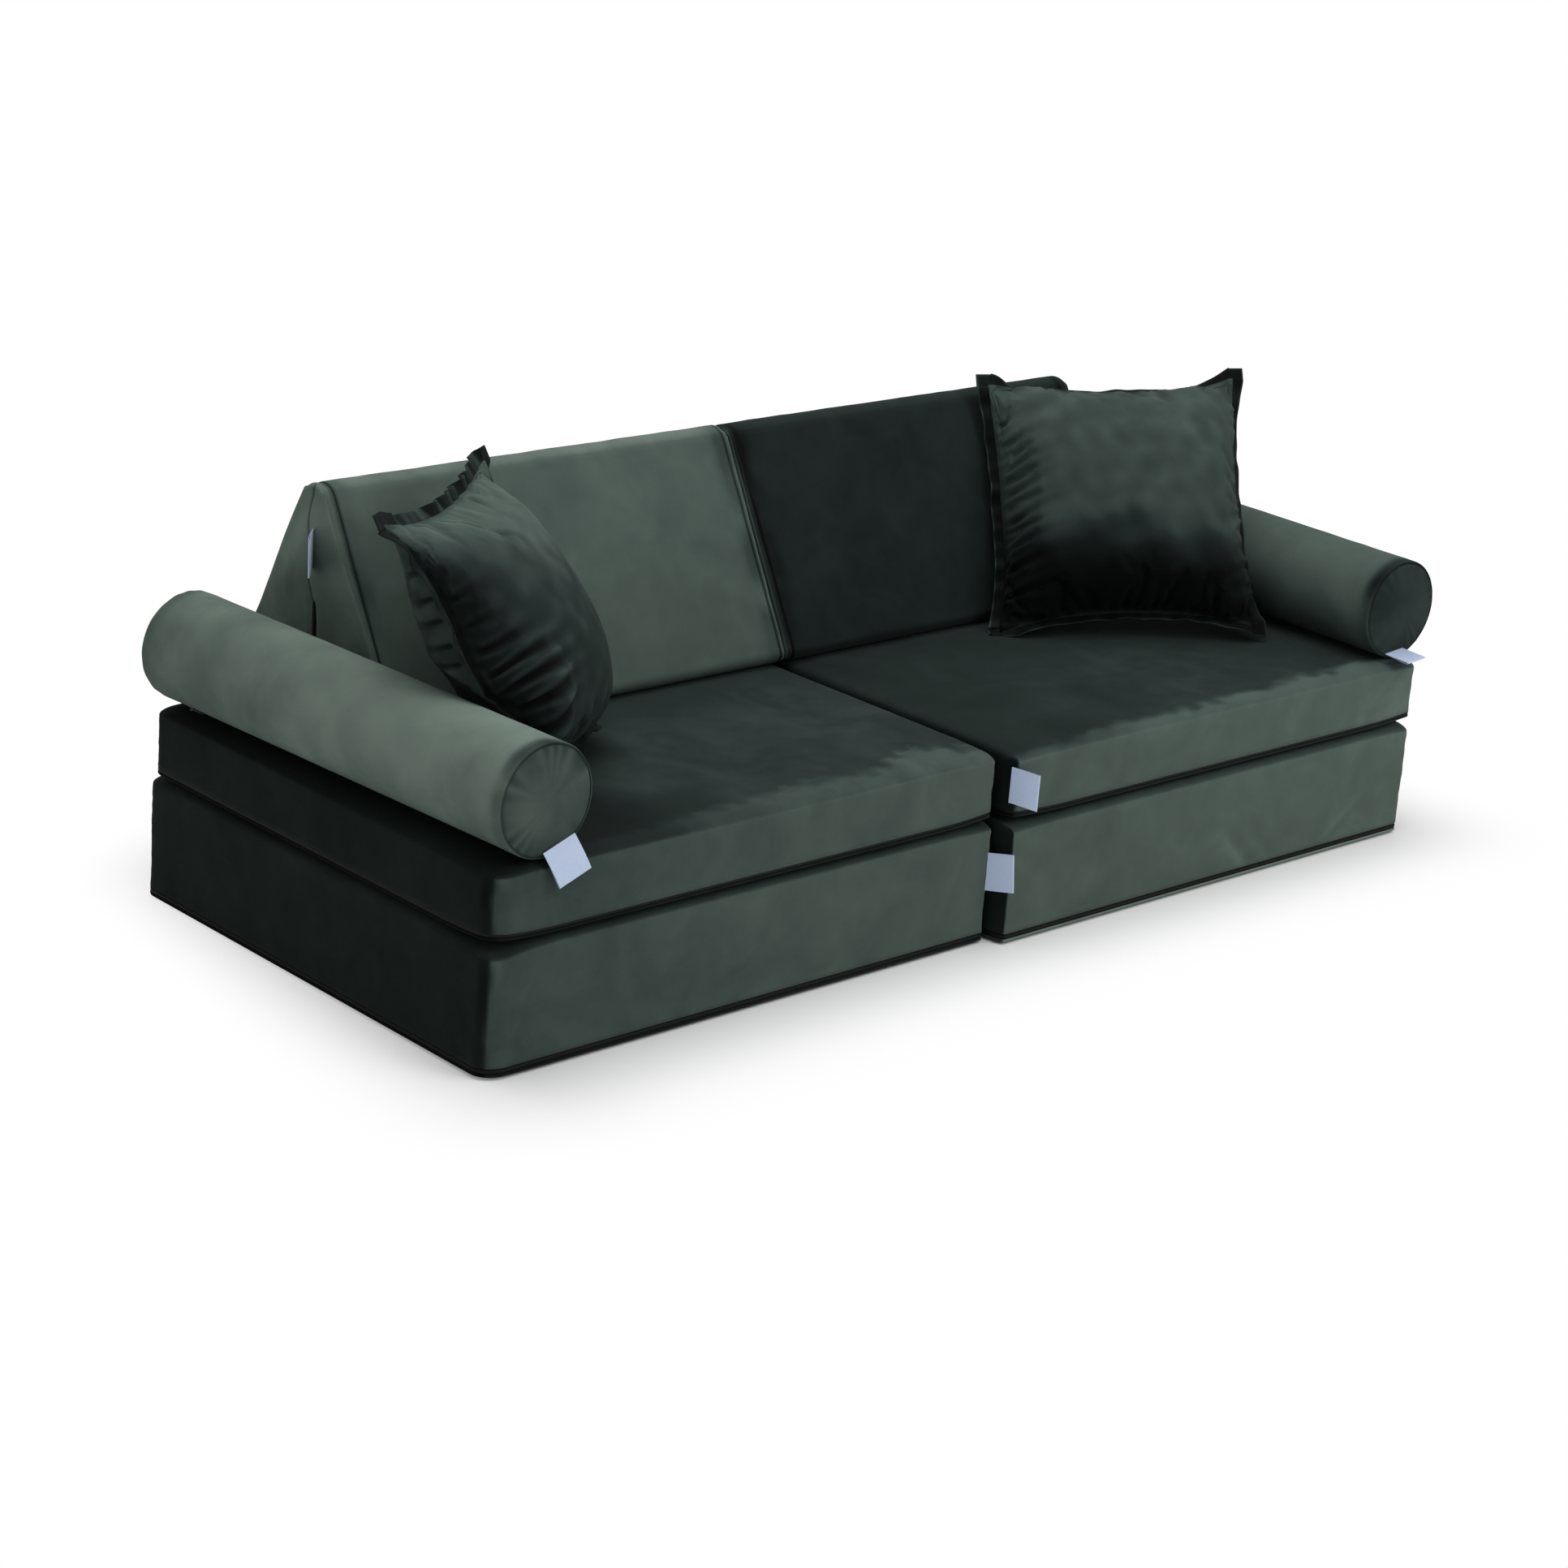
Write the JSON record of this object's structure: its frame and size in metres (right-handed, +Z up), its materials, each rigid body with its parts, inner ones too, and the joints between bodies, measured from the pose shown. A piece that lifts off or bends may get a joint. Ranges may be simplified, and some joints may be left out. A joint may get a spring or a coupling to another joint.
{
  "type": "modular foam play sofa",
  "caption": "Low sofa built from loose foam blocks in zipped velvet covers: stacked mattresses, wedge backrests, bolster arms and flanged pillows.",
  "frame": {"origin": "on the floor, at the middle of the footprint's bounding box", "axes": "+X along the sofa to the sitter's left, +Y to the back, +Z up"},
  "size_m": [2.0834, 0.9532, 0.7321],
  "materials": {
    "velvet": "matte",
    "foam": "matte",
    "filling": "matte",
    "zip_tape": "matte",
    "zip_metal": "satin",
    "label_ribbon": "satin"
  },
  "bodies": {
    "base_left": {"base_left_cover": "velvet", "base_left_foam": "foam", "base_left_zip": "zip_tape", "label_base_left": "label_ribbon"},
    "base_left_slider": {"base_left_slider": "zip_metal"},
    "base_left_pull": {"base_left_pull": "zip_metal"},
    "seat_left": {"seat_left_cover": "velvet", "seat_left_foam": "foam", "seat_left_zip": "zip_tape"},
    "seat_left_slider": {"seat_left_slider": "zip_metal"},
    "seat_left_pull": {"seat_left_pull": "zip_metal"},
    "back_left": {"back_left_cover": "velvet", "back_left_foam": "foam", "back_left_zip": "zip_tape", "label_back_left": "label_ribbon"},
    "back_left_slider": {"back_left_slider": "zip_metal"},
    "back_left_pull": {"back_left_pull": "zip_metal"},
    "bolster_left": {"bolster_left_cover": "velvet", "bolster_left_foam": "foam", "bolster_left_zip": "zip_tape", "label_bolster_left": "label_ribbon"},
    "bolster_left_slider": {"bolster_left_slider": "zip_metal"},
    "bolster_left_pull": {"bolster_left_pull": "zip_metal"},
    "pillow_left": {"pillow_left_cover": "velvet", "pillow_left_filling": "filling", "pillow_left_zip": "zip_tape"},
    "pillow_left_slider": {"pillow_left_slider": "zip_metal"},
    "pillow_left_pull": {"pillow_left_pull": "zip_metal"},
    "base_right": {"base_right_cover": "velvet", "base_right_foam": "foam", "base_right_zip": "zip_tape"},
    "base_right_slider": {"base_right_slider": "zip_metal"},
    "base_right_pull": {"base_right_pull": "zip_metal"},
    "seat_right": {"seat_right_cover": "velvet", "seat_right_foam": "foam", "seat_right_zip": "zip_tape", "label_seat_right": "label_ribbon"},
    "seat_right_slider": {"seat_right_slider": "zip_metal"},
    "seat_right_pull": {"seat_right_pull": "zip_metal"},
    "back_right": {"back_right_cover": "velvet", "back_right_foam": "foam", "back_right_zip": "zip_tape"},
    "back_right_slider": {"back_right_slider": "zip_metal"},
    "back_right_pull": {"back_right_pull": "zip_metal"},
    "bolster_right": {"bolster_right_cover": "velvet", "bolster_right_foam": "foam", "bolster_right_zip": "zip_tape", "label_bolster_right": "label_ribbon"},
    "bolster_right_slider": {"bolster_right_slider": "zip_metal"},
    "bolster_right_pull": {"bolster_right_pull": "zip_metal"},
    "pillow_right": {"pillow_right_cover": "velvet", "pillow_right_filling": "filling", "pillow_right_zip": "zip_tape"},
    "pillow_right_slider": {"pillow_right_slider": "zip_metal"},
    "pillow_right_pull": {"pillow_right_pull": "zip_metal"}
  },
  "joints": [
    {"name": "base_right_apart", "type": "slide", "parent": "base_left", "child": "base_right", "axis": [1, 0, 0], "range_m": [0, 0.3]},
    {"name": "seat_left_lift", "type": "slide", "parent": "base_left", "child": "seat_left", "axis": [0, 0, 1], "range_m": [0, 0.25]},
    {"name": "back_left_lift", "type": "slide", "parent": "seat_left", "child": "back_left", "axis": [0, 0.6, 0.8], "range_m": [0, 0.45]},
    {"name": "bolster_left_draw", "type": "slide", "parent": "seat_left", "child": "bolster_left", "axis": [0.0401, -0.9992, 0], "range_m": [0, 0.86]},
    {"name": "pillow_left_lift", "type": "slide", "parent": "seat_left", "child": "pillow_left", "axis": [0.7001, 0, 0.7141], "range_m": [0, 0.4]},
    {"name": "seat_right_lift", "type": "slide", "parent": "base_right", "child": "seat_right", "axis": [0, 0, 1], "range_m": [0, 0.25]},
    {"name": "back_right_lift", "type": "slide", "parent": "seat_right", "child": "back_right", "axis": [0, 0.6, 0.8], "range_m": [0, 0.45]},
    {"name": "bolster_right_draw", "type": "slide", "parent": "seat_right", "child": "bolster_right", "axis": [-0.0244, -0.9997, 0], "range_m": [0, 0.86]},
    {"name": "pillow_right_lift", "type": "slide", "parent": "seat_right", "child": "pillow_right", "axis": [-0.7001, 0, 0.7141], "range_m": [0, 0.4]},
    {"name": "base_left_zip_run", "type": "slide", "parent": "base_left", "child": "base_left_slider", "axis": [-1, 0, 0], "range_m": [0, 0.82]},
    {"name": "seat_left_zip_run", "type": "slide", "parent": "seat_left", "child": "seat_left_slider", "axis": [-1, 0, 0], "range_m": [0, 0.82]},
    {"name": "back_left_zip_run", "type": "slide", "parent": "back_left", "child": "back_left_slider", "axis": [0, 0, 1], "range_m": [0, 0.066]},
    {"name": "bolster_left_zip_run", "type": "slide", "parent": "bolster_left", "child": "bolster_left_slider", "axis": [0.0401, -0.9992, 0], "range_m": [0, 0.62]},
    {"name": "pillow_left_zip_run", "type": "slide", "parent": "pillow_left", "child": "pillow_left_slider", "axis": [-0.8827, -0.4699, 0.0057], "range_m": [0, 0.028]},
    {"name": "base_right_zip_run", "type": "slide", "parent": "base_right", "child": "base_right_slider", "axis": [1, 0, 0], "range_m": [0, 0.82]},
    {"name": "seat_right_zip_run", "type": "slide", "parent": "seat_right", "child": "seat_right_slider", "axis": [1, 0, 0], "range_m": [0, 0.82]},
    {"name": "back_right_zip_run", "type": "slide", "parent": "back_right", "child": "back_right_slider", "axis": [0, 0, 1], "range_m": [0, 0.066]},
    {"name": "bolster_right_zip_run", "type": "slide", "parent": "bolster_right", "child": "bolster_right_slider", "axis": [-0.0244, -0.9997, 0], "range_m": [0, 0.62]},
    {"name": "pillow_right_zip_run", "type": "slide", "parent": "pillow_right", "child": "pillow_right_slider", "axis": [0.8776, -0.4792, 0.0161], "range_m": [0, 0.028]},
    {"name": "base_left_pull_turn", "type": "hinge", "parent": "base_left_slider", "child": "base_left_pull", "pos_m": [-0.11326, 0.42873, 0.0125], "axis": [0, 0, -1], "range_deg": [0, 170]},
    {"name": "seat_left_pull_turn", "type": "hinge", "parent": "seat_left_slider", "child": "seat_left_pull", "pos_m": [-0.11326, 0.41473, 0.2123], "axis": [0, 0, -1], "range_deg": [0, 170]},
    {"name": "back_left_pull_turn", "type": "hinge", "parent": "back_left_slider", "child": "back_left_pull", "pos_m": [-0.82351, 0.27398, 0.3918], "axis": [0, 1, 0], "range_deg": [0, 170]},
    {"name": "bolster_left_pull_turn", "type": "hinge", "parent": "bolster_left_slider", "child": "bolster_left_pull", "pos_m": [-0.99797, 0.32847, 0.32314], "axis": [0.8653, 0.0348, -0.5], "range_deg": [0, 20]},
    {"name": "pillow_left_pull_turn", "type": "hinge", "parent": "pillow_left_slider", "child": "pillow_left_pull", "pos_m": [-0.64176, -0.04688, 0.35183], "axis": [0.3193, -0.6087, -0.7263], "range_deg": [0, 170]},
    {"name": "base_right_pull_turn", "type": "hinge", "parent": "base_right_slider", "child": "base_right_pull", "pos_m": [0.06974, 0.40273, 0.0125], "axis": [0, 0, 1], "range_deg": [0, 170]},
    {"name": "seat_right_pull_turn", "type": "hinge", "parent": "seat_right_slider", "child": "seat_right_pull", "pos_m": [0.07174, 0.39473, 0.2123], "axis": [0, 0, 1], "range_deg": [0, 170]},
    {"name": "back_right_pull_turn", "type": "hinge", "parent": "back_right_slider", "child": "back_right_pull", "pos_m": [0.77499, 0.27398, 0.3918], "axis": [0, -1, 0], "range_deg": [0, 170]},
    {"name": "bolster_right_pull_turn", "type": "hinge", "parent": "bolster_right_slider", "child": "bolster_right_pull", "pos_m": [0.9992, 0.32932, 0.32224], "axis": [0.8658, -0.0212, 0.5], "range_deg": [0, 20]},
    {"name": "pillow_right_pull_turn", "type": "hinge", "parent": "pillow_right_slider", "child": "pillow_right_pull", "pos_m": [0.55037, -0.0104, 0.35418], "axis": [0.3642, 0.6881, 0.6276], "range_deg": [0, 170]}
  ]
}
